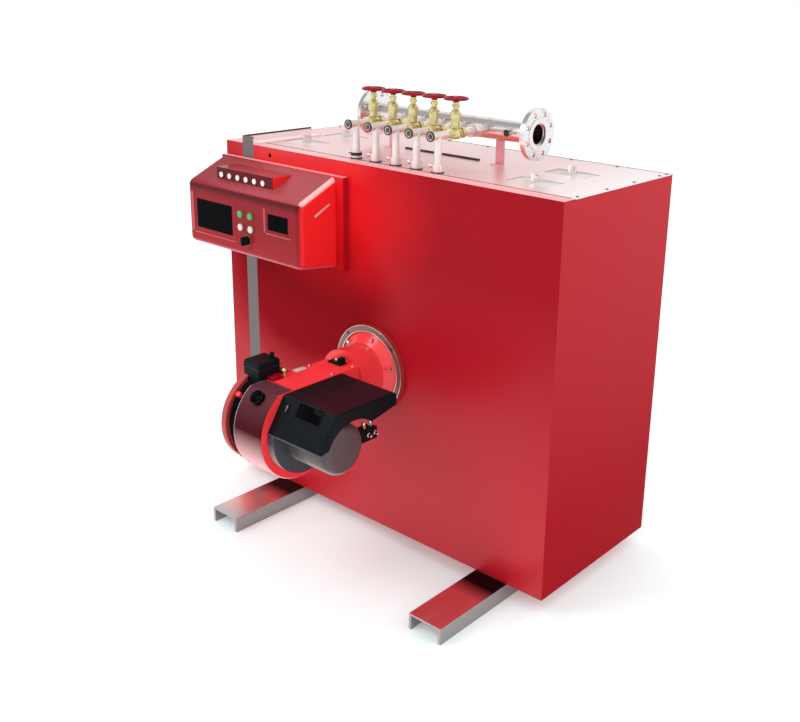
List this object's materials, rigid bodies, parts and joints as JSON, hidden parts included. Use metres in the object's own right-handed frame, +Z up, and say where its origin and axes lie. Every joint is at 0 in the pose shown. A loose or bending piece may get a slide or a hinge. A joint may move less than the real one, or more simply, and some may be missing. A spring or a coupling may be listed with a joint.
{
  "type": "industrial boiler",
  "caption": "Packaged industrial boiler: red sheet-metal cabinet on two channel skids, forced-draught burner and control box in front, valved branch header on top.",
  "frame": {"origin": "on the floor, under the middle of the whole object, from the front of the fan to the back of the cabinet", "axes": "+X runs along the front to the right, +Y from the front to the back, +Z up"},
  "size_m": [1.634, 1.281, 1.7123],
  "materials": {
    "red_panel": "gloss powder-coated sheet steel",
    "red_casting": "gloss enamel on cast aluminium",
    "control_red": "gloss moulded plastic",
    "handwheel_red": "gloss enamel on cast iron",
    "galvanised": "galvanised steel",
    "pipe_steel": "bright welded steel pipe",
    "valve_brass": "cast and machined brass",
    "insulation": "grey lagging cover",
    "black_plastic": "black moulded plastic",
    "motor_grey": "grey painted aluminium",
    "green_plastic": "translucent green button",
    "white_plastic": "white button",
    "sight_lens": "dark sight glass in a ring"
  },
  "bodies": {
    "boiler": {"air_inlet": "black_plastic", "back_panel": "red_panel", "base_plate": "red_panel", "boiler_body": "insulation", "burner_head": "red_casting", "burner_hood": "black_plastic", "burner_ring": "galvanised", "control_back_plate": "control_red", "control_cover": "control_red", "damper_actuator": "black_plastic", "end_panel_left": "red_panel", "end_panel_right": "red_panel", "fan_housing": "red_casting", "fan_motor": "motor_grey", "front_panel": "red_panel", "front_panel_left": "red_panel", "fuel_valve": "black_plastic", "gate_valves": "valve_brass", "green_buttons": "green_plastic", "header_brackets": "galvanised", "header_flange_left": "pipe_steel", "header_flange_right": "pipe_steel", "header_pipe": "pipe_steel", "header_socket": "pipe_steel", "indicator_lamps": "white_plastic", "inlet_cover": "red_casting", "lamp_ledge": "control_red", "lifting_lugs": "galvanised", "main_display": "black_plastic", "meter_display": "black_plastic", "motor_shroud": "motor_grey", "pipe_unions": "pipe_steel", "riser_collars": "galvanised", "risers": "pipe_steel", "sight_glass": "sight_lens", "skid_left": "galvanised", "skid_right": "galvanised", "steel_band": "galvanised", "top_panel": "red_panel", "white_buttons": "white_plastic"},
    "wheel_1": {"handwheel_1": "handwheel_red"},
    "wheel_2": {"handwheel_2": "handwheel_red"},
    "wheel_3": {"handwheel_3": "handwheel_red"},
    "wheel_4": {"handwheel_4": "handwheel_red"},
    "wheel_5": {"handwheel_5": "handwheel_red"},
    "selector": {"selector_knob": "black_plastic"}
  },
  "joints": [
    {"name": "wheel_1_turn", "type": "hinge", "parent": "boiler", "child": "wheel_1", "pos_m": [-0.159, 0.1355, 1.707], "axis": [0, 0, 1], "range_deg": [0, 1080]},
    {"name": "wheel_2_turn", "type": "hinge", "parent": "boiler", "child": "wheel_2", "pos_m": [-0.06, 0.1355, 1.707], "axis": [0, 0, 1], "range_deg": [0, 1080]},
    {"name": "wheel_3_turn", "type": "hinge", "parent": "boiler", "child": "wheel_3", "pos_m": [0.039, 0.1355, 1.707], "axis": [0, 0, 1], "range_deg": [0, 1080]},
    {"name": "wheel_4_turn", "type": "hinge", "parent": "boiler", "child": "wheel_4", "pos_m": [0.138, 0.1355, 1.707], "axis": [0, 0, 1], "range_deg": [0, 1080]},
    {"name": "wheel_5_turn", "type": "hinge", "parent": "boiler", "child": "wheel_5", "pos_m": [0.237, 0.1355, 1.707], "axis": [0, 0, 1], "range_deg": [0, 1080]},
    {"name": "selector_turn", "type": "hinge", "parent": "boiler", "child": "selector", "pos_m": [-0.455, -0.2345, 1.144], "axis": [0, -1, 0], "range_deg": [-45, 45]}
  ]
}
